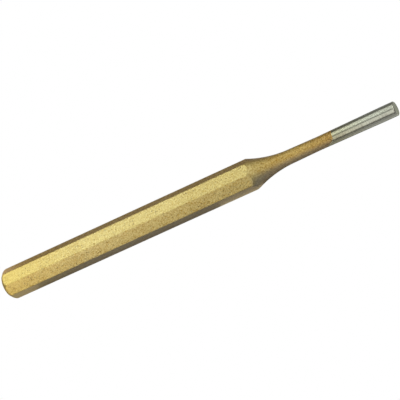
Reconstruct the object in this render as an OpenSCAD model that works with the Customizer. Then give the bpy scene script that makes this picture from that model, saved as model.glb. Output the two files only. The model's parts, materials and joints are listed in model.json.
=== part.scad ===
// Pin punch: an octagonal steel bar turned down to a slim pin, with a lacquer film over all but the tip.
// It lies along X on one of its flats, with the striking face at -X and the driving tip at +X.
// All sizes are in millimetres and are those of the finished surface, over the lacquer.

/* [Shank] */
// Length of the octagonal shank, from the striking face to the start of the neck
shank_len = 96.3; // [40:0.1:160]
// Distance across two opposite flats
across_flats = 10.2; // [8:0.1:14]
// Radius along the long edges between the flats
arris_r = 0.5; // [0.3:0.1:1.5]

/* [Head] */
// Depth of the chamfer round the striking face, along the bar
head_chamfer = 1; // [0.3:0.1:2]
// Slope of that chamfer to the bar, in degrees
head_angle = 45; // [30:1:60]
// Radius that rolls the chamfer into the shank
head_round_r = 1.6; // [0.5:0.1:4]

/* [Neck] */
// Length from the start of the neck to the tip
pin_len = 53.7; // [40:0.1:90]
// Steepest slope of the neck to the bar, in degrees
neck_angle = 21; // [14:1:24]
// Radius of the hollow curve between the neck and the pin
neck_r = 39; // [20:1:60]

/* [Pin] */
// Diameter of the driving tip
tip_d = 4.95; // [4:0.05:6]
// Length of the straight land at the tip
tip_land = 5; // [2:0.5:20]
// Edge break round the tip
tip_chamfer = 0.25; // [0.1:0.05:0.8]
// Diameter of the waist, the slimmest place of the pin
waist_d = 4.5; // [3.6:0.1:5]
// Length over which the pin thickens from the waist to the hollow curve
root_len = 10.5; // [4:0.5:20]
// Slope of that stretch to the bar, in degrees
root_angle = 0.9; // [0.2:0.1:3]
// Length of bare ground steel at the tip
bright_len = 23; // [12:0.5:40]

/* [Lacquer] */
// Thickness of the film
film = 0.1; // [0.05:0.01:0.2]

/* [Hidden] */

flats = 8;
half_step = 180 / flats;
// Chords that stand for each round stretch
arris_steps = 4;
round_steps = 8;
// Overrun of the block that parts the bare tip from the rest
overrun = 2;
// Least share of the neck's height that stays a plain cone
cone_share = 0.05;

length = shank_len + pin_len;
tip_r = tip_d / 2;
waist_r = waist_d / 2;
// Radius over the sharp corners of the octagon, where the turned shape leaves the shank
corner_r = across_flats / 2 / cos(half_step);

// The hollow curve touches the root of the pin and the neck's cone, as large as the neck has room for.
// All places count from the tip.
root_r = waist_r + root_len * tan(root_angle);
bend = cos(root_angle) - cos(neck_angle);
hollow_r = min(neck_r, (1 - cone_share) * (corner_r - root_r) / bend);
cone_r = root_r + hollow_r * bend;
cone_at = pin_len - (corner_r - cone_r) / tan(neck_angle);
curve_at = cone_at - hollow_r * sin(neck_angle);
curve_r = cone_r + hollow_r * cos(neck_angle);
waist_at = curve_at + hollow_r * sin(root_angle) - root_len;

// The round of the head touches the corner radius and the chamfer. Its centre counts from the striking face.
round_at = head_chamfer + head_round_r * sin(head_angle);
round_r = corner_r - head_round_r;

// Outline of the octagon with rounded corners, all its faces moved in by inset
function octagon_points(inset) =
    let (r = arris_r - inset)
    let (centre = (across_flats / 2 - arris_r) / cos(half_step))
    [for (k = [0 : flats - 1], i = [0 : arris_steps])
        let (corner = (2 * k + 1) * half_step)
        let (a = corner + half_step * (2 * i / arris_steps - 1))
        [centre * cos(corner) + r * cos(a), centre * sin(corner) + r * sin(a)]];

// Half outline of the turned shape as [radius, place from the striking face], moved in by inset
function head_points(inset) =
    let (r = head_round_r - inset)
    let (rim_r = round_r + r * cos(head_angle))
    let (rim_at = round_at - r * sin(head_angle))
    concat(
        [[0, inset], [rim_r - (rim_at - inset) * tan(head_angle), inset]],
        [for (i = [0 : round_steps])
            let (a = head_angle * (1 - i / round_steps))
            [round_r + r * cos(a), round_at - r * sin(a)]]);

function neck_points(inset) =
    let (r = hollow_r + inset)
    let (end_r = corner_r - inset)
    let (end_at = curve_at + r * sin(neck_angle) + (end_r - curve_r + r * cos(neck_angle)) / tan(neck_angle))
    concat(
        [[end_r, length - end_at]],
        [for (i = [0 : round_steps])
            let (a = neck_angle + (root_angle - neck_angle) * i / round_steps)
            [curve_r - r * cos(a), length - curve_at - r * sin(a)]]);

function pin_points(inset) = [
    [waist_r - inset, length - waist_at],
    [tip_r - inset, length - tip_land],
    [tip_r - inset, length - tip_chamfer],
    [tip_r - tip_chamfer, length - inset],
    [0, length - inset]];

// The finished bar along Z, head down, or the steel below the film when inset is the film's thickness
module bar(inset) {
    intersection() {
        rotate_extrude($fn = 96)
            polygon(concat(head_points(inset), neck_points(inset), pin_points(inset)));
        linear_extrude(length)
            polygon(octagon_points(inset));
    }
}

// Everything from the lacquer's edge to the tip
module tip_zone() {
    translate([0, 0, length - bright_len])
        cylinder(r = corner_r + overrun, h = bright_len + overrun);
}

// Lays the bar along X on a flat, with the middle of its length over the origin
module lying() {
    translate([-length / 2, 0, across_flats / 2])
        rotate([0, 90, 0])
            children();
}

// Tool steel bar: full size at the bare tip, thinner by the film everywhere else
module punch_body() {
    color([0.72, 0.73, 0.69])
        lying()
            union() {
                bar(film);
                intersection() {
                    bar(0);
                    tip_zone();
                }
            }
}

// Gold lacquer, a closed film round the head, open at its edge on the pin
module lacquer_coat() {
    color([0.80, 0.67, 0.36])
        lying()
            difference() {
                bar(0);
                bar(film);
                tip_zone();
            }
}

punch_body();
lacquer_coat();
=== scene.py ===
import json
import math

import bpy
from mathutils import Matrix, Vector


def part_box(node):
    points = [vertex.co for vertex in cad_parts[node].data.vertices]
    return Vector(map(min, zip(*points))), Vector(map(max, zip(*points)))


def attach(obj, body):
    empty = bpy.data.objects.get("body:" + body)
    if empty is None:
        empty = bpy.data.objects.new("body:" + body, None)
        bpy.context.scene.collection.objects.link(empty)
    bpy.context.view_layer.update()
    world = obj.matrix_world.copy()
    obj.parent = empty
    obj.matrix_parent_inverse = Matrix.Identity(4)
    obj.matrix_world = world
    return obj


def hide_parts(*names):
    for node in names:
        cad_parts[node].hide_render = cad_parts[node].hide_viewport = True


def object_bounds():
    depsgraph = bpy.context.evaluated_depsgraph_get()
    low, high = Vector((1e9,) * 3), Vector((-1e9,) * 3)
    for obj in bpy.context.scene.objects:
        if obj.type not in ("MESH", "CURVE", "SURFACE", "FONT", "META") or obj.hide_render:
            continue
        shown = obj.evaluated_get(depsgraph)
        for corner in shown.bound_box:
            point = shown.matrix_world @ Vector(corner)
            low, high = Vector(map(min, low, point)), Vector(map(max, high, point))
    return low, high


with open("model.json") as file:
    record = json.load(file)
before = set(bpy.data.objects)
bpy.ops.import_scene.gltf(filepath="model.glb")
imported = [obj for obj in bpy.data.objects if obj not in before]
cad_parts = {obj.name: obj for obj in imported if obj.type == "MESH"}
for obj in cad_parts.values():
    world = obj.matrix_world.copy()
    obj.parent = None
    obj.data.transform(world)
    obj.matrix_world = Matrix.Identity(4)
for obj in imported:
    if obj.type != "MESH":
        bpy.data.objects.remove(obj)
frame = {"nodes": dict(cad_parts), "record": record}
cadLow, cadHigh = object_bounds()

mm = 0.001
print("frame loaded, nodes:", ", ".join(sorted(frame["nodes"])))


# sRGB hex to the linear colour that the sockets take
def toLinear(hexColour):
    parts = [int(hexColour[i:i + 2], 16) / 255 for i in (1, 3, 5)]
    return [p / 12.92 if p <= 0.04045 else ((p + 0.055) / 1.055) ** 2.4 for p in parts] + [1.0]


# adds a node; an input may be a plain value, a socket or a node, whose first live output is meant
def addNode(tree, kind, inputs=(), **settings):
    node = tree.nodes.new(kind)
    for name, value in settings.items():
        setattr(node, name, value)
    for key, value in inputs.items() if isinstance(inputs, dict) else enumerate(inputs):
        if isinstance(value, bpy.types.Node):
            value = next(socket for socket in value.outputs if socket.enabled)
        if isinstance(value, bpy.types.NodeSocket):
            tree.links.new(value, node.inputs[key])
        else:
            node.inputs[key].default_value = value
    return node


def startMaterial(name):
    material = bpy.data.materials.new(name)
    material.use_nodes = True
    material.node_tree.nodes.clear()
    return material, material.node_tree


# camera as fitted to the photograph's outline and facet edges, the bar lying on a flat
cameraFit = {
    "rise": 24.519,  # slope of the bar's axis in the picture, degrees
    "tilt": 19.762,  # how far the tip end turns towards the camera
    "faceTurn": -25.253,  # top flat's normal about the axis, from the camera's side
    "distance": 778.456 * mm,
    "aim": 76.308 * mm,  # place on the axis, from the striking face
    "aside": 0.673 * mm,
    "lens": 211.73,  # mm, as is the sensor's width
    "sensor": 36.0,
    "clipStart": 10 * mm,
}

rise, tilt, turn = (math.radians(cameraFit[key]) for key in ("rise", "tilt", "faceTurn"))
axisHeight = (cadLow.z + cadHigh.z) / 2
along = Vector((math.cos(tilt), -math.sin(turn) * math.sin(tilt), -math.cos(turn) * math.sin(tilt)))
across = Vector((0, -math.cos(turn), math.sin(turn)))
back = Vector((math.sin(tilt), math.sin(turn) * math.cos(tilt), math.cos(turn) * math.cos(tilt)))
right = math.cos(rise) * along + math.sin(rise) * across
up = math.sin(rise) * along - math.cos(rise) * across
place = Vector((cadLow.x + cameraFit["aim"], 0, axisHeight)) + cameraFit["aside"] * across
place += cameraFit["distance"] * back
cameraData = bpy.data.cameras.new("photoCamera")
cameraData.lens = cameraFit["lens"]
cameraData.sensor_width = cameraFit["sensor"]
cameraData.clip_start = cameraFit["clipStart"]
camera = bpy.data.objects.new("photoCamera", cameraData)
camera.matrix_world = Matrix.Translation(place) @ Matrix((right, up, back)).transposed().to_4x4()
bpy.context.scene.collection.objects.link(camera)
bpy.context.scene.camera = camera
print("camera set at", [round(v, 4) for v in place])

# the bar's shape rule: a rounded octagon, a turned head and a turned pin, blended where they meet
coatLow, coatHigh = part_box("lacquer_coat")
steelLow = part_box("punch_body")[0]
tipMount = next(m for m in frame["record"]["mounts"] if m["name"] == "drive_tip")
barLength = cadHigh.x - cadLow.x
acrossFlats = cadHigh.z - cadLow.z
film = steelLow.z - coatLow.z
edgeAlong = coatHigh.x - cadLow.x  # where the lacquer ends, from the striking face
tipRadius = tipMount["dims"]["r_mm"] * mm
flatCount = 8
octant = 2 * math.pi / flatCount

turned = {  # the turned forms, as the solids have them
    "headChamfer": 1.0 * mm,
    "headAngle": math.radians(45),
    "headRound": 1.6 * mm,
    "pinLength": 53.7 * mm,
    "neckAngle": math.radians(21),
    "neckCurve": 39.0 * mm,
    "rootAngle": math.radians(0.9),
    "rootLength": 10.5 * mm,
    "waistRadius": 2.25 * mm,
    "tipLand": 5.0 * mm,
    "tipChamfer": 0.25 * mm,
}
# places on the head are from the striking face, those on the neck from the tip
cornerRadius = acrossFlats / 2 / math.cos(octant / 2)
roundAt = turned["headChamfer"] + turned["headRound"] * math.sin(turned["headAngle"])
roundCentre = cornerRadius - turned["headRound"]
faceRadius = roundCentre + turned["headRound"] * math.cos(turned["headAngle"])
faceRadius -= turned["headChamfer"] * math.tan(turned["headAngle"])
rootRadius = turned["waistRadius"] + turned["rootLength"] * math.tan(turned["rootAngle"])
curveRise = math.cos(turned["rootAngle"]) - math.cos(turned["neckAngle"])
coneRadius = rootRadius + turned["neckCurve"] * curveRise
coneAt = turned["pinLength"] - (cornerRadius - coneRadius) / math.tan(turned["neckAngle"])
curveAt = coneAt - turned["neckCurve"] * math.sin(turned["neckAngle"])
curveCentre = coneRadius + turned["neckCurve"] * math.cos(turned["neckAngle"])
rootAt = curveAt + turned["neckCurve"] * math.sin(turned["rootAngle"])

barShape = {  # named inputs of the tree, lengths in metres
    "Length": barLength,
    "Face Place": cadLow.x,
    "Axis Height": axisHeight,
    "Across Flats": acrossFlats,
    "Arris Blend": 0.25 * mm,  # two flats run into each other as on a 0.5 mm radius
    "Flat Crown": 0.03 * mm,  # the flats are a little rounded across
    "Seam Blend": 0.08 * mm,  # soft edge where a flat runs out on the turned forms
    "Head Round": turned["headRound"],
    "Head Round Centre": roundCentre,
    "Head Round Place": roundAt,
    "Head Rim Place": turned["headChamfer"],
    "Head Slope": math.tan(turned["headAngle"]),
    "Neck Curve": turned["neckCurve"],
    "Neck Curve Centre": curveCentre,
    "Neck Curve Place": curveAt,
    "Neck Cone Place": coneAt,
    "Neck Slope": math.tan(turned["neckAngle"]),
    "Root Place": rootAt,
    "Root Slope": math.tan(turned["rootAngle"]),
    "Waist Radius": turned["waistRadius"],
    "Waist Place": rootAt - turned["rootLength"],
    "Tip Radius": tipRadius,
    "Tip Land": turned["tipLand"],
    "Tip Chamfer": turned["tipChamfer"],
    "Tip Blend": 0.08 * mm,  # softens the broken edge of the tip
    "Edge Overlap": 0.35 * mm,  # the lacquer's edge runs a little further on top and behind
    "Edge Slant": 3.6 * mm,  # leans back on the lower front
    "Edge Slant Power": 1.5,  # keeps the slant to that side
    "Edge Wander": 0.4 * mm,  # and isn't quite even
    "Edge Wave Scale": 1.6,  # of its noise, on a circle of radius 1
    "Column Crowding": 2.2,  # power that draws the columns to the arrises
    "Merge Distance": 0.0005 * mm,
}

barTree = bpy.data.node_groups.new("octagonBarSkin", "GeometryNodeTree")
barTree.interface.new_socket("Rows", in_out="INPUT", socket_type="NodeSocketGeometry")
barTree.interface.new_socket("Skin", in_out="OUTPUT", socket_type="NodeSocketGeometry")
inputKinds = {title: "NodeSocketFloat" for title in barShape}
inputKinds.update({"Columns": "NodeSocketInt", "Finish": "NodeSocketMaterial"})
inputIds = {}
for title, kind in inputKinds.items():
    inputSocket = barTree.interface.new_socket(title, in_out="INPUT", socket_type=kind)
    inputIds[title] = inputSocket.identifier

given = addNode(barTree, "NodeGroupInput").outputs
rowLine = given["Rows"]
rowCount = addNode(barTree, "GeometryNodeAttributeDomainSize", [rowLine], component="MESH")
columnCount = addNode(barTree, "ShaderNodeMath", [given["Columns"], 1.0], operation="ADD")
grid = addNode(barTree, "GeometryNodeMeshGrid", [1.0, 1.0, rowCount, columnCount])
gridPlace = addNode(barTree, "GeometryNodeInputPosition")
gridPlace = addNode(barTree, "ShaderNodeSeparateXYZ", [gridPlace]).outputs  # from -0.5 to 0.5 each way

# each row of the grid takes its place on the axis, its inset and its cap from the line of rows
rowShare = addNode(barTree, "ShaderNodeMath", [gridPlace["X"], 0.5], operation="ADD")
lastRow = addNode(barTree, "ShaderNodeMath", [rowCount, 1.0], operation="SUBTRACT")
rowNumber = addNode(barTree, "ShaderNodeMath", [rowShare, lastRow], operation="MULTIPLY")
rowNumber = addNode(barTree, "ShaderNodeMath", [rowNumber], operation="ROUND")
linePlace = addNode(barTree, "GeometryNodeInputPosition")
lineEdge = addNode(barTree, "GeometryNodeInputNamedAttribute", ["edgeShare"], data_type="FLOAT")
rowPlace = addNode(barTree, "GeometryNodeSampleIndex",
                   {"Geometry": rowLine, "Value": linePlace, "Index": rowNumber}, data_type="FLOAT_VECTOR")
rowEdge = addNode(barTree, "GeometryNodeSampleIndex",
                  {"Geometry": rowLine, "Value": lineEdge, "Index": rowNumber}, data_type="FLOAT")
rowParts = addNode(barTree, "ShaderNodeSeparateXYZ", [rowPlace]).outputs

# columns go round the bar, closer together at the arrises
columnTurn = addNode(barTree, "ShaderNodeMath", [gridPlace["Y"], flatCount, flatCount / 2],
                     operation="MULTIPLY_ADD")
octantNumber = addNode(barTree, "ShaderNodeMath", [columnTurn], operation="FLOOR")
octantPart = addNode(barTree, "ShaderNodeMath", [columnTurn, octantNumber], operation="SUBTRACT")
fromArris = addNode(barTree, "ShaderNodeMath", [octantPart, 2.0, -1.0], operation="MULTIPLY_ADD")
arrisSide = addNode(barTree, "ShaderNodeMath", [fromArris], operation="SIGN")
arrisGap = addNode(barTree, "ShaderNodeMath", [fromArris], operation="ABSOLUTE")
arrisGap = addNode(barTree, "ShaderNodeMath", [arrisGap, given["Column Crowding"]], operation="POWER")
arrisGap = addNode(barTree, "ShaderNodeMath", [arrisGap, octant / 2], operation="MULTIPLY")
arrisTurn = addNode(barTree, "ShaderNodeMath", [octantNumber, octant, octant / 2],
                    operation="MULTIPLY_ADD")
angle = addNode(barTree, "ShaderNodeMath", [arrisSide, arrisGap, arrisTurn], operation="MULTIPLY_ADD")
angleCos = addNode(barTree, "ShaderNodeMath", [angle], operation="COSINE")
angleSin = addNode(barTree, "ShaderNodeMath", [angle], operation="SINE")

# octagon: the two nearest flats, blended at the arris
halfFlats = addNode(barTree, "ShaderNodeMath", [given["Across Flats"], 0.5], operation="MULTIPLY")
nearTurn = addNode(barTree, "ShaderNodeMath", [octant / 2, arrisGap], operation="SUBTRACT")
farTurn = addNode(barTree, "ShaderNodeMath", [octant / 2, arrisGap], operation="ADD")
crownShare = -1 / math.tan(octant / 2) ** 2  # the whole crown is lost at the arris
crownDrop = addNode(barTree, "ShaderNodeMath", [given["Flat Crown"], crownShare], operation="MULTIPLY")
flatSides = []
for turnFromFlat in (nearTurn, farTurn):
    flatCos = addNode(barTree, "ShaderNodeMath", [turnFromFlat], operation="COSINE")
    flatSide = addNode(barTree, "ShaderNodeMath", [halfFlats, flatCos], operation="DIVIDE")
    flatTan = addNode(barTree, "ShaderNodeMath", [turnFromFlat], operation="TANGENT")
    flatTan = addNode(barTree, "ShaderNodeMath", [flatTan, flatTan], operation="MULTIPLY")
    flatSide = addNode(barTree, "ShaderNodeMath", [flatTan, crownDrop, flatSide], operation="MULTIPLY_ADD")
    flatSides.append(flatSide)
octagon = addNode(barTree, "ShaderNodeMath", [*flatSides, given["Arris Blend"]], operation="SMOOTH_MIN")

# the lacquer's edge wanders round the pin, and lies furthest back on the lower front
edgeTurn = math.radians(120)  # from straight up towards the front
edgeSide = (-math.sin(edgeTurn), math.cos(edgeTurn), 0)
edgeVector = addNode(barTree, "ShaderNodeCombineXYZ", [angleCos, angleSin, 0.0])
edgeNoise = addNode(barTree, "ShaderNodeTexNoise",
                    {"Vector": edgeVector, "Scale": given["Edge Wave Scale"], "Detail": 3.0})
edgeNoise = addNode(barTree, "ShaderNodeMath", [edgeNoise, 0.5], operation="SUBTRACT")  # to either side
edgeWander = addNode(barTree, "ShaderNodeMath", [edgeNoise, given["Edge Wander"], given["Edge Overlap"]],
                     operation="MULTIPLY_ADD")
edgeLean = addNode(barTree, "ShaderNodeVectorMath", [edgeVector, edgeSide], operation="DOT_PRODUCT")
edgeLean = addNode(barTree, "ShaderNodeMath", [edgeLean, 0.0], operation="MAXIMUM")
edgeLean = addNode(barTree, "ShaderNodeMath", [edgeLean, given["Edge Slant Power"]], operation="POWER")
edgeLean = addNode(barTree, "ShaderNodeMath", [edgeLean, given["Edge Slant"]], operation="MULTIPLY")
edgeShift = addNode(barTree, "ShaderNodeMath", [edgeWander, edgeLean], operation="SUBTRACT")
fromFace = addNode(barTree, "ShaderNodeMath", [edgeShift, rowEdge, rowParts["X"]],
                   operation="MULTIPLY_ADD")
fromTip = addNode(barTree, "ShaderNodeMath", [given["Length"], fromFace], operation="SUBTRACT")

# turned head: chamfer, then a round that runs out on the corners
headPlace = addNode(barTree, "ShaderNodeClamp",
                    [fromFace, given["Head Rim Place"], given["Head Round Place"]])
headReach = addNode(barTree, "ShaderNodeMath", [given["Head Round Place"], headPlace],
                    operation="SUBTRACT")
headReach = addNode(barTree, "ShaderNodeMath", [headReach, headReach], operation="MULTIPLY")
headSquare = addNode(barTree, "ShaderNodeMath", [given["Head Round"], given["Head Round"]],
                     operation="MULTIPLY")
headSquare = addNode(barTree, "ShaderNodeMath", [headSquare, headReach], operation="SUBTRACT")
headArc = addNode(barTree, "ShaderNodeMath", [headSquare], operation="SQRT")
headArc = addNode(barTree, "ShaderNodeMath", [headArc, given["Head Round Centre"]], operation="ADD")
headRest = addNode(barTree, "ShaderNodeMath", [fromFace, headPlace], operation="SUBTRACT")
head = addNode(barTree, "ShaderNodeMath", [headRest, given["Head Slope"], headArc],
               operation="MULTIPLY_ADD")

# turned pin: cone, hollow curve, root, waist, back taper, land and broken tip edge
neckPlace = addNode(barTree, "ShaderNodeClamp", [fromTip, given["Root Place"], given["Neck Cone Place"]])
neckReach = addNode(barTree, "ShaderNodeMath", [neckPlace, given["Neck Curve Place"]],
                    operation="SUBTRACT")
neckReach = addNode(barTree, "ShaderNodeMath", [neckReach, neckReach], operation="MULTIPLY")
neckSquare = addNode(barTree, "ShaderNodeMath", [given["Neck Curve"], given["Neck Curve"]],
                     operation="MULTIPLY")
neckSquare = addNode(barTree, "ShaderNodeMath", [neckSquare, neckReach], operation="SUBTRACT")
neckArc = addNode(barTree, "ShaderNodeMath", [neckSquare], operation="SQRT")
neckArc = addNode(barTree, "ShaderNodeMath", [given["Neck Curve Centre"], neckArc], operation="SUBTRACT")
neckOver = addNode(barTree, "ShaderNodeMath", [fromTip, given["Neck Cone Place"]], operation="SUBTRACT")
neckOver = addNode(barTree, "ShaderNodeMath", [neckOver, 0.0], operation="MAXIMUM")
neckUnder = addNode(barTree, "ShaderNodeMath", [fromTip, given["Root Place"]], operation="SUBTRACT")
neckUnder = addNode(barTree, "ShaderNodeMath", [neckUnder, 0.0], operation="MINIMUM")
neck = addNode(barTree, "ShaderNodeMath", [neckOver, given["Neck Slope"], neckArc],
               operation="MULTIPLY_ADD")
neck = addNode(barTree, "ShaderNodeMath", [neckUnder, given["Root Slope"], neck], operation="MULTIPLY_ADD")
taperRange = [fromTip, given["Tip Land"], given["Waist Place"], given["Tip Radius"], given["Waist Radius"]]
taper = addNode(barTree, "ShaderNodeMapRange", taperRange)
pin = addNode(barTree, "ShaderNodeMath", [neck, taper], operation="MAXIMUM")
tipBreak = addNode(barTree, "ShaderNodeMath", [given["Tip Radius"], given["Tip Chamfer"]],
                   operation="SUBTRACT")
tipBreak = addNode(barTree, "ShaderNodeMath", [tipBreak, fromTip], operation="ADD")
pin = addNode(barTree, "ShaderNodeMath", [pin, tipBreak, given["Tip Blend"]], operation="SMOOTH_MIN")

# the smallest of the three, never past the cap, less the inset
radius = addNode(barTree, "ShaderNodeMath", [octagon, head, given["Seam Blend"]], operation="SMOOTH_MIN")
radius = addNode(barTree, "ShaderNodeMath", [radius, pin, given["Seam Blend"]], operation="SMOOTH_MIN")
radius = addNode(barTree, "ShaderNodeMath", [radius, rowParts["Z"]], operation="MINIMUM")
radius = addNode(barTree, "ShaderNodeMath", [radius, rowParts["Y"]], operation="SUBTRACT")
radius = addNode(barTree, "ShaderNodeMath", [radius, 0.0], operation="MAXIMUM")
skinX = addNode(barTree, "ShaderNodeMath", [given["Face Place"], fromFace], operation="ADD")
skinY = addNode(barTree, "ShaderNodeMath", [radius, angleCos], operation="MULTIPLY")
skinZ = addNode(barTree, "ShaderNodeMath", [radius, angleSin, given["Axis Height"]],
                operation="MULTIPLY_ADD")
skinPlace = addNode(barTree, "ShaderNodeCombineXYZ", [skinX, skinY, skinZ])
skin = addNode(barTree, "GeometryNodeSetPosition", {"Geometry": grid, "Position": skinPlace})
skin = addNode(barTree, "GeometryNodeMergeByDistance",
               {"Geometry": skin, "Distance": given["Merge Distance"]})
skin = addNode(barTree, "GeometryNodeFlipFaces", {"Mesh": skin})  # the grid's faces look inwards
skin = addNode(barTree, "GeometryNodeSetShadeSmooth", {"Geometry": skin, "Shade Smooth": True})
skin = addNode(barTree, "GeometryNodeRealizeInstances", {"Geometry": skin})
skin = addNode(barTree, "GeometryNodeSetMaterial", {"Geometry": skin, "Material": given["Finish"]})
addNode(barTree, "NodeGroupOutput", [skin])
print("bar tree built,", len(barTree.nodes), "nodes")


# evenly spaced places from the start on, without the end
def evenly(start, end, step):
    count = max(1, round((end - start) / step))
    return [start + (end - start) * i / count for i in range(count)]


# a row is its place from the striking face, inset, cap radius and share of the lacquer edge's wander
openCap = 1.0  # wider than the bar
edgeSpan = 7 * mm  # the wander fades over this length


def rowsAt(places, inset):
    return [(p, inset, openCap, max(0.0, 1 - abs(p - edgeAlong) / edgeSpan)) for p in places]


def makeSkin(name, rows, columns, finish):
    line = bpy.data.meshes.new(name + "Rows")
    line.from_pydata([row[:3] for row in rows], [(i, i + 1) for i in range(len(rows) - 1)], [])
    edgeShare = line.attributes.new("edgeShare", "FLOAT", "POINT")
    edgeShare.data.foreach_set("value", [row[3] for row in rows])
    guide = bpy.data.objects.new(name + "Rows", line)
    bpy.context.scene.collection.objects.link(guide)
    modifier = guide.modifiers.new("skin", "NODES")
    modifier.node_group = barTree
    for title, value in {**barShape, "Columns": columns, "Finish": finish}.items():
        modifier[inputIds[title]] = value
    evaluated = guide.evaluated_get(bpy.context.evaluated_depsgraph_get())
    mesh = bpy.data.meshes.new_from_object(evaluated)
    mesh.name = name
    bpy.data.objects.remove(guide)
    bpy.data.meshes.remove(line)
    piece = bpy.data.objects.new(name, mesh)
    bpy.context.scene.collection.objects.link(piece)
    print(name, len(mesh.vertices), "vertices,", len(mesh.polygons), "faces")
    return piece


# place on the bar in mm, from the striking face and the axis, with its parts and its part off the axis
def placeOnBar(tree):
    coords = addNode(tree, "ShaderNodeTexCoord").outputs["Object"]
    toStart = (-cadLow.x / mm, 0, -axisHeight / mm)
    inMm = addNode(tree, "ShaderNodeMapping",
                   {"Vector": coords, "Location": toStart, "Scale": (1 / mm, 1 / mm, 1 / mm)})
    parts = addNode(tree, "ShaderNodeSeparateXYZ", [inMm]).outputs
    offAxis = addNode(tree, "ShaderNodeCombineXYZ", [0.0, parts["Y"], parts["Z"]])
    return inMm, parts, offAxis


noiseRange = (0.3, 0.7)  # nearly all of a noise lies between these

# bronze-powder lacquer, sprayed on blasted steel: a warm gold with metallic depth, a satin clear top, fine
# brown speckle and a grain that mottles the flats; it is deeper in tone at the head and towards its end,
# redder on the pin, with a painted brown reflection on the back and a painted grey floor reflection on the
# sides and below
lacquerFinish = {
    "gold": "#CFC07F",
    "deep": "#9B7B27",
    "speck": "#5E4720",
    "headTone": "#FFF8D1",  # what the colour is filtered by at the head
    "pinTone": "#FFF3E5",  # on the turned pin
    "endTone": "#F0E6DC",  # towards the lacquer's end
    "paintedBackReflectionTone": "#F6EDEF",  # and on the back of the shank, as a painted brown reflection
    "paintedBackReflectionTurn": (20.0, 24.0),  # degrees from straight up, towards the back
    "paintedFloorReflectionTone": "#B2BCC0",  # painted grey floor reflection on the sides and below
    "paintedFloorReflectionShare": 0.35,
    "paintedFloorReflectionTurn": (65.0, 70.0),  # degrees from straight up, on the flats
    "pinPaintedFloorReflectionTurn": (28.0, 60.0),  # and on the turned part
    "paintedFloorReflectionFade": (96.0, 98.5),  # mm from the striking face, from the one to the other
    "sideFade": (0.1, 0.5),  # mm from the striking face, which is even in tone
    "headFade": (0.0, 32.0),  # mm from the striking face
    "pinFade": (97.0, 106.0),
    "endFade": (116.0, 127.0),
    "grainSize": 0.34,  # mm, coarser than the real powder so that it shows
    "mottleSize": 0.64,  # mm, clumps of powder
    "clumpShare": 0.4,  # of the clumps in the grain
    "grainRange": (0.37, 0.6),  # of the noise, from deep to gold
    "grainMost": 0.95,  # share of the deep tone, at most
    "grainMean": 0.4,  # and on average
    "headCalm": 0.35,  # the grain is weaker at the head
    "speckGap": 0.75,  # mm between brown specks, most of them faint
    "speckReach": (0.12, 0.34),  # of the gap, from a speck's dark middle to its edge
    "speckChance": (0.5, 1.0),  # half of them don't show
    "speckMost": 0.9,
    "driftSize": 9.0,  # mm, slow change of tone
    "driftMost": 0.06,  # to either side
    "metallic": 0.9,
    "roughness": (0.44, 0.6),
    "pinRoughness": 0.12,  # more on the turned pin
    "edgeTint": "#FAC6A0",  # the flats turn browner where they are seen edge on
    "clearTop": 0.4,
    "clearRoughness": 0.3,
    "grainDepth": 0.13,  # mm
    "pitDepth": 0.5,  # of that, under a speck
}
goldLacquer, tree = startMaterial("bronzePowderLacquer")
inMm, parts, offAxis = placeOnBar(tree)
facing = addNode(tree, "ShaderNodeVectorMath", [offAxis], operation="NORMALIZE")
around = addNode(tree, "ShaderNodeSeparateXYZ", [facing]).outputs
# painted grey floor reflection: the flats and the pin are greyed where they face sideways and down
paintedFloorReflectionShares = []
for name in ("paintedFloorReflectionTurn", "pinPaintedFloorReflectionTurn"):
    paintedFloorReflectionRange = [math.cos(math.radians(turn)) for turn in lacquerFinish[name]]
    paintedFloorReflectionShares.append(addNode(tree, "ShaderNodeMapRange",
                              [around["Z"], *paintedFloorReflectionRange, 0.0, lacquerFinish["paintedFloorReflectionShare"]]))
paintedFloorReflectionFade = addNode(tree, "ShaderNodeMapRange", [parts["X"], *lacquerFinish["paintedFloorReflectionFade"], 0.0, 1.0])
paintedFloorReflectionShare = addNode(tree, "ShaderNodeMix", {"Factor": paintedFloorReflectionFade, "A": paintedFloorReflectionShares[0], "B": paintedFloorReflectionShares[1]})
sideShare = addNode(tree, "ShaderNodeMapRange", [parts["X"], *lacquerFinish["sideFade"], 0.0, 1.0])
paintedFloorReflectionShare = addNode(tree, "ShaderNodeMath", [paintedFloorReflectionShare, sideShare], operation="MULTIPLY")
grain = addNode(tree, "ShaderNodeTexNoise",
                {"Vector": inMm, "Scale": 1 / lacquerFinish["grainSize"], "Detail": 3.0, "Roughness": 0.6})
drift = addNode(tree, "ShaderNodeTexNoise",
                {"Vector": inMm, "Scale": 1 / lacquerFinish["driftSize"], "Detail": 2.0})
mottle = addNode(tree, "ShaderNodeTexNoise",
                 {"Vector": inMm, "Scale": 1 / lacquerFinish["mottleSize"], "Detail": 2.0})
clumps = addNode(tree, "ShaderNodeMix", {"Factor": lacquerFinish["clumpShare"], "A": grain, "B": mottle})
specks = addNode(tree, "ShaderNodeTexVoronoi", {"Vector": inMm, "Scale": 1 / lacquerFinish["speckGap"]})
speckShape = addNode(tree, "ShaderNodeMapRange", [specks, *lacquerFinish["speckReach"], 1.0, 0.0])
speckChance = addNode(tree, "ShaderNodeSeparateXYZ", [specks.outputs["Color"]])
speckChance = addNode(tree, "ShaderNodeMapRange",
                      [speckChance, *lacquerFinish["speckChance"], 0.0, lacquerFinish["speckMost"]])
speckShare = addNode(tree, "ShaderNodeMath", [speckShape, speckChance], operation="MULTIPLY")
grainShare = addNode(tree, "ShaderNodeMapRange",
                     [clumps, *lacquerFinish["grainRange"], lacquerFinish["grainMost"], 0.0])
headShare = addNode(tree, "ShaderNodeMapRange", [parts["X"], *lacquerFinish["headFade"], 1.0, 0.0])
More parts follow.
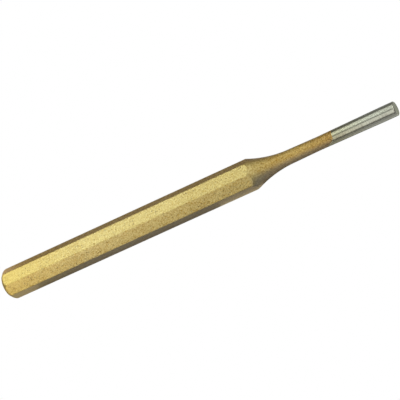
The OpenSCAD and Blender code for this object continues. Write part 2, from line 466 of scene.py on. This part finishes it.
pinShare = addNode(tree, "ShaderNodeMapRange", [parts["X"], *lacquerFinish["pinFade"], 0.0, 1.0])
calm = addNode(tree, "ShaderNodeMath", [headShare, lacquerFinish["headCalm"]], operation="MULTIPLY")
grainShare = addNode(tree, "ShaderNodeMix",
                     {"Factor": calm, "A": grainShare, "B": lacquerFinish["grainMean"]})
driftShare = addNode(tree, "ShaderNodeMapRange",
                     [drift, *noiseRange, -lacquerFinish["driftMost"], lacquerFinish["driftMost"]])
toneShare = addNode(tree, "ShaderNodeMath", [grainShare, driftShare], operation="ADD", use_clamp=True)
endShare = addNode(tree, "ShaderNodeMapRange", [parts["X"], *lacquerFinish["endFade"], 0.0, 1.0])
# painted brown reflection: the back flats of the shank are tinted browner
paintedBackReflectionRange = [math.sin(math.radians(turn)) for turn in lacquerFinish["paintedBackReflectionTurn"]]
paintedBackReflectionShare = addNode(tree, "ShaderNodeMapRange", [around["Y"], *paintedBackReflectionRange, 0.0, 1.0])
shankShare = addNode(tree, "ShaderNodeMath", [1.0, pinShare], operation="SUBTRACT")
for limit in (shankShare, sideShare):
    paintedBackReflectionShare = addNode(tree, "ShaderNodeMath", [paintedBackReflectionShare, limit], operation="MULTIPLY")
gold, deep = toLinear(lacquerFinish["gold"]), toLinear(lacquerFinish["deep"])
tone = addNode(tree, "ShaderNodeMix", {"Factor": toneShare, "A": gold, "B": deep}, data_type="RGBA")
layers = (
    (speckShare, "speck", "MIX"),
    (paintedFloorReflectionShare, "paintedFloorReflectionTone", "MIX"),
    (headShare, "headTone", "MULTIPLY"),
    (pinShare, "pinTone", "MULTIPLY"),
    (endShare, "endTone", "MULTIPLY"),
    (paintedBackReflectionShare, "paintedBackReflectionTone", "MULTIPLY"),
)
for share, name, blend in layers:
    tone = addNode(tree, "ShaderNodeMix", {"Factor": share, "A": tone, "B": toLinear(lacquerFinish[name])},
                   data_type="RGBA", blend_type=blend)
rough = addNode(tree, "ShaderNodeMapRange", [clumps, *noiseRange, *lacquerFinish["roughness"]])
rough = addNode(tree, "ShaderNodeMath", [pinShare, lacquerFinish["pinRoughness"], rough],
                operation="MULTIPLY_ADD")
pits = addNode(tree, "ShaderNodeMath", [speckShare, -lacquerFinish["pitDepth"], clumps],
               operation="MULTIPLY_ADD")
bump = addNode(tree, "ShaderNodeBump",
               {"Strength": 1.0, "Distance": lacquerFinish["grainDepth"] * mm, "Height": pits})
shader = addNode(tree, "ShaderNodeBsdfPrincipled",
                 {"Base Color": tone, "Metallic": lacquerFinish["metallic"], "Roughness": rough,
                  "Normal": bump, "Specular Tint": toLinear(lacquerFinish["edgeTint"]),
                  "Coat Weight": lacquerFinish["clearTop"],
                  "Coat Roughness": lacquerFinish["clearRoughness"]})
addNode(tree, "ShaderNodeOutputMaterial", [shader])

# tool steel, ground round the tip: bright and hard, with fine rings from the wheel, some heavier marks on
# the front, and a faint yellow veil of lacquer mist that thins out from the lacquer's edge
steelFinish = {
    "bright": "#EDEFDA",
    "dull": "#E6E8D2",
    "veil": "#E4DEC9",  # what the colour is filtered by at the lacquer's edge
    "veilLength": 14.0,  # mm
    "ringSize": 0.3,  # mm, coarser than the real grinding marks so that they show
    "roughness": (0.22, 0.24),
    "ringDepth": 0.0001,  # mm
    "markSize": (0.22, 5.0),  # mm along the pin and round it, heavier marks from finishing by hand
    "markRange": (0.4, 0.62),  # of the noise, from none to a full mark
    "markSide": (-0.7, -1.5),  # mm across the pin, they grow from the first to the second place
    "markLow": (1.7, 1.1),  # mm over the axis, and fade on the way down
    "markDepth": 0.0026,  # mm
    "markTone": "#C4C0B1",
    "edgeTint": "#A6A8A0",  # less bright where it is seen edge on
}
groundSteel, tree = startMaterial("groundToolSteel")
inMm, parts, offAxis = placeOnBar(tree)
fromAxis = addNode(tree, "ShaderNodeVectorMath", [offAxis], operation="LENGTH")
ringPlace = addNode(tree, "ShaderNodeMath", [parts["X"], fromAxis], operation="SUBTRACT")
rings = addNode(tree, "ShaderNodeTexNoise",
                {"W": ringPlace, "Scale": 1 / steelFinish["ringSize"], "Detail": 3.0, "Roughness": 0.65},
                noise_dimensions="1D")
markScale = [1 / steelFinish["markSize"][k] for k in (0, 1, 1)]
markPlace = addNode(tree, "ShaderNodeMapping", {"Vector": inMm, "Scale": markScale})
marks = addNode(tree, "ShaderNodeTexNoise", {"Vector": markPlace, "Scale": 1.0, "Detail": 2.0})
marks = addNode(tree, "ShaderNodeMapRange", [marks, *steelFinish["markRange"], 0.0, 1.0])
markSide = addNode(tree, "ShaderNodeMapRange", [parts["Y"], *steelFinish["markSide"], 0.0, 1.0])
markShare = addNode(tree, "ShaderNodeMath", [marks, markSide], operation="MULTIPLY")
markLow = addNode(tree, "ShaderNodeMapRange", [parts["Z"], *steelFinish["markLow"], 1.0, 0.0])
markShare = addNode(tree, "ShaderNodeMath", [markShare, markLow], operation="MULTIPLY")
veilEnd = edgeAlong / mm + steelFinish["veilLength"]
veilShare = addNode(tree, "ShaderNodeMapRange", [parts["X"], edgeAlong / mm, veilEnd, 1.0, 0.0])
dull, bright = toLinear(steelFinish["dull"]), toLinear(steelFinish["bright"])
tone = addNode(tree, "ShaderNodeMix", {"Factor": rings, "A": dull, "B": bright}, data_type="RGBA")
for share, name, blend in ((markShare, "markTone", "MIX"), (veilShare, "veil", "MULTIPLY")):
    tone = addNode(tree, "ShaderNodeMix", {"Factor": share, "A": tone, "B": toLinear(steelFinish[name])},
                   data_type="RGBA", blend_type=blend)
rough = addNode(tree, "ShaderNodeMapRange", [rings, *noiseRange, *steelFinish["roughness"]])
bump = addNode(tree, "ShaderNodeBump",
               {"Strength": 1.0, "Distance": steelFinish["ringDepth"] * mm, "Height": rings})
bump = addNode(tree, "ShaderNodeBump",
               {"Strength": 1.0, "Distance": steelFinish["markDepth"] * mm, "Height": markShare,
                "Normal": bump})
shader = addNode(tree, "ShaderNodeBsdfPrincipled",
                 {"Base Color": tone, "Metallic": 1.0, "Roughness": rough, "Normal": bump,
                  "Specular Tint": toLinear(steelFinish["edgeTint"])})
addNode(tree, "ShaderNodeOutputMaterial", [shader])
print("materials made")

# lacquer coat: outer skin from the striking face to the edge on the pin, then back along its inner side
coat = {
    "name": "lacquer_coat_skin",
    "columns": 240,
    "faceShares": (0.0, 0.3, 0.6, 0.85),  # rows on the striking face, of the radius inside its rim
    "rimRound": 0.3 * mm,  # soft rim of the striking face
    "rimSteps": 6,
    "headEnd": 2.8 * mm,
    "headStep": 0.08 * mm,
    "shankStep": 3.0 * mm,
    "seamLead": 0.4 * mm,  # close rows from just before the neck first cuts the arrises
    "seamLength": 2.2 * mm,
    "seamStep": 0.07 * mm,
    "neckStep": 0.6 * mm,
    "innerStep": 2.0 * mm,
    "edgeRow": 0.02 * mm,  # keeps the shading on both sides of the edge apart
}
rimCentre = faceRadius - coat["rimRound"] * math.tan(turned["headAngle"] / 2)
rows = [(0.0, 0.0, rimCentre * share, 0.0) for share in coat["faceShares"]]
for step in range(coat["rimSteps"] + 1):
    bend = turned["headAngle"] * step / coat["rimSteps"]
    rimEnd = coat["rimRound"] * (1 - math.cos(bend))
    rows.append((rimEnd, 0.0, rimCentre + coat["rimRound"] * math.sin(bend), 0.0))
seamStart = barLength - turned["pinLength"] - coat["seamLead"]
seamEnd = seamStart + coat["seamLength"]
edgeStart = edgeAlong - coat["edgeRow"]
rows += rowsAt(evenly(rimEnd, coat["headEnd"], coat["headStep"])[1:], 0.0)
rows += rowsAt(evenly(coat["headEnd"], seamStart, coat["shankStep"]), 0.0)
rows += rowsAt(evenly(seamStart, seamEnd, coat["seamStep"]), 0.0)
rows += rowsAt(evenly(seamEnd, edgeStart, coat["neckStep"]), 0.0)
rows += rowsAt([edgeStart, edgeAlong], 0.0)
rows += rowsAt([edgeAlong, edgeStart], film)
rows += rowsAt(evenly(film, edgeStart, coat["innerStep"])[::-1], film)
rows.append((film, 0.0, 0.0, 0.0))
coatSkin = makeSkin(coat["name"], rows, coat["columns"], goldLacquer)
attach(coatSkin, "root")
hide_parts("lacquer_coat")

# steel bar: under the lacquer up to its edge, then bare to the broken edge and end face of the tip
steel = {
    "name": "punch_body_steel",
    "columns": 240,
    "hiddenStep": 2.0 * mm,
    "bareStep": 0.5 * mm,
    "tipZone": 1.0 * mm,
    "tipStep": 0.04 * mm,
    "endShares": (0.97, 0.7, 0.35, 0.0),  # rows on the end face, as shares of its radius
}
tipStart = barLength - steel["tipZone"]
endRadius = tipRadius - turned["tipChamfer"]
rows = [(film, 0.0, 0.0, 0.0)]
rows += rowsAt(evenly(film, edgeAlong, steel["hiddenStep"]), film)
rows += rowsAt([edgeAlong], film)
rows += rowsAt([edgeAlong], 0.0)
rows += rowsAt(evenly(edgeAlong + coat["edgeRow"], tipStart, steel["bareStep"]), 0.0)
rows += rowsAt(evenly(tipStart, barLength, steel["tipStep"]), 0.0)
rows += rowsAt([barLength], 0.0)
rows += [(barLength, 0.0, endRadius * share, 0.0) for share in steel["endShares"]]
steelBar = makeSkin(steel["name"], rows, steel["columns"], groundSteel)
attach(steelBar, "root")
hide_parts("punch_body")

# studio: long softboxes over and before the bar with a narrow gap between them, brighter ones nearer the
# head, one past the tip, small lit cards on the floor round the head, the neck and the tip, a dim room and
# a pale floor
studio = {
    "boxes": {
        # turn from straight up towards the front in degrees, reach along the bar and distance in metres
        "overhead": {"turn": (-57, 3), "reach": (-1.5, 0.3), "distance": 1.0,
                     "radiance": 0.345, "tone": "#FFFFFF"},
        "overheadNear": {"turn": (-46, -6), "reach": (-0.8, -0.158), "distance": 0.5,
                         "radiance": 3.86, "tone": "#F5FFFE"},
        "front": {"turn": (17, 67), "reach": (-1.0, 0.2), "distance": 1.0,
                  "radiance": 0.57, "tone": "#FFFFFF"},
        "frontNear": {"turn": (42, 66), "reach": (-0.7, -0.25), "distance": 0.5,
                      "radiance": 5.98, "tone": "#FFF8F5"},
        "pastTip": {"turn": (-57, 35), "reach": (0.35, 1.4), "distance": 1.0,
                    "radiance": 1.91, "tone": "#FFFFFF"},
    },
    "cards": {
        # from and to along the bar and across it, in metres
        "headBack": {"along": (-0.13, -0.078), "across": (0.012, 0.06),
                     "radiance": 0.92, "tone": "#FFFFFF"},
        "headFront": {"along": (-0.12, -0.066), "across": (-0.05, -0.0058),
                      "radiance": 0.335, "tone": "#FFFFFF"},
        "neck": {"along": (0.006, 0.024), "across": (-0.0074, -0.0051),
                 "radiance": 0.7, "tone": "#FBFFE8"},
        "tip": {"along": (0.045, 0.08), "across": (-0.0085, -0.0028),
                "radiance": 0.18, "tone": "#FFFFFF"},
        "end": {"along": (0.0755, 0.09), "across": (-0.004, 0.01),
                "radiance": 0.3, "tone": "#FFFFFF"},
    },
    "cardHeight": 0.5 * mm,
    "room": 0.1,
    "white": "#FFFFFF",  # what the camera sees of the floor and the room
    "floorTone": "#8A888C",  # what the metal sees of the floor
    "floorReach": 3.0,  # metres to each side
}


def addLight(name, size, radiance, tone, matrix):
    lightData = bpy.data.lights.new(name, "AREA")
    lightData.shape = "RECTANGLE"
    lightData.size, lightData.size_y = size
    lightData.color = toLinear(tone)[:3]
    lightData.energy = radiance * math.pi * size[0] * size[1]  # power that gives the radiance
    light = bpy.data.objects.new(name, lightData)
    light.matrix_world = matrix
    bpy.context.scene.collection.objects.link(light)
    return light


for name, box in studio["boxes"].items():
    low, high = (math.radians(a) for a in box["turn"])
    start, end = box["reach"]
    outward = Vector((0, -math.sin((low + high) / 2), math.cos((low + high) / 2)))
    lengthwise = Vector((1, 0, 0))
    turnMatrix = Matrix((lengthwise, outward.cross(lengthwise), outward)).transposed().to_4x4()
    middle = Vector(((start + end) / 2, 0, axisHeight)) + box["distance"] * outward
    size = (end - start, 2 * box["distance"] * math.tan((high - low) / 2))
    addLight(name + "Softbox", size, box["radiance"], box["tone"], Matrix.Translation(middle) @ turnMatrix)
for name, card in studio["cards"].items():
    middle = Vector((sum(card["along"]) / 2, sum(card["across"]) / 2, studio["cardHeight"]))
    size = (card["along"][1] - card["along"][0], card["across"][1] - card["across"][0])
    faceUp = Matrix.Translation(middle) @ Matrix.Rotation(math.pi, 4, "X")
    light = addLight(name + "Card", size, card["radiance"], card["tone"], faceUp)
    light.visible_camera = False

white = toLinear(studio["white"])
world = bpy.data.worlds.new("studioRoom")
world.use_nodes = True
world.node_tree.nodes.clear()
seen = addNode(world.node_tree, "ShaderNodeLightPath")
roomLight = addNode(world.node_tree, "ShaderNodeBackground", [white, studio["room"]])
backdrop = addNode(world.node_tree, "ShaderNodeBackground", [white, 1.0])
mixed = addNode(world.node_tree, "ShaderNodeMixShader", [seen, roomLight, backdrop])
addNode(world.node_tree, "ShaderNodeOutputWorld", [mixed])
bpy.context.scene.world = world

reach = studio["floorReach"]
corners = [(-reach, -reach, 0), (reach, -reach, 0), (reach, reach, 0), (-reach, reach, 0)]
floorMesh = bpy.data.meshes.new("floor")
floorMesh.from_pydata(corners, [], [(0, 1, 2, 3)])
floor = bpy.data.objects.new("floor", floorMesh)
bpy.context.scene.collection.objects.link(floor)
paleFloor, tree = startMaterial("paleFloor")
seen = addNode(tree, "ShaderNodeLightPath")
matt = addNode(tree, "ShaderNodeBsdfDiffuse", [toLinear(studio["floorTone"])])
glow = addNode(tree, "ShaderNodeEmission", [white, 1.0])
mixed = addNode(tree, "ShaderNodeMixShader", [seen, matt, glow])
addNode(tree, "ShaderNodeOutputMaterial", [mixed])
floorMesh.materials.append(paleFloor)
bpy.context.scene.view_settings.view_transform = "Standard"
print("studio set")
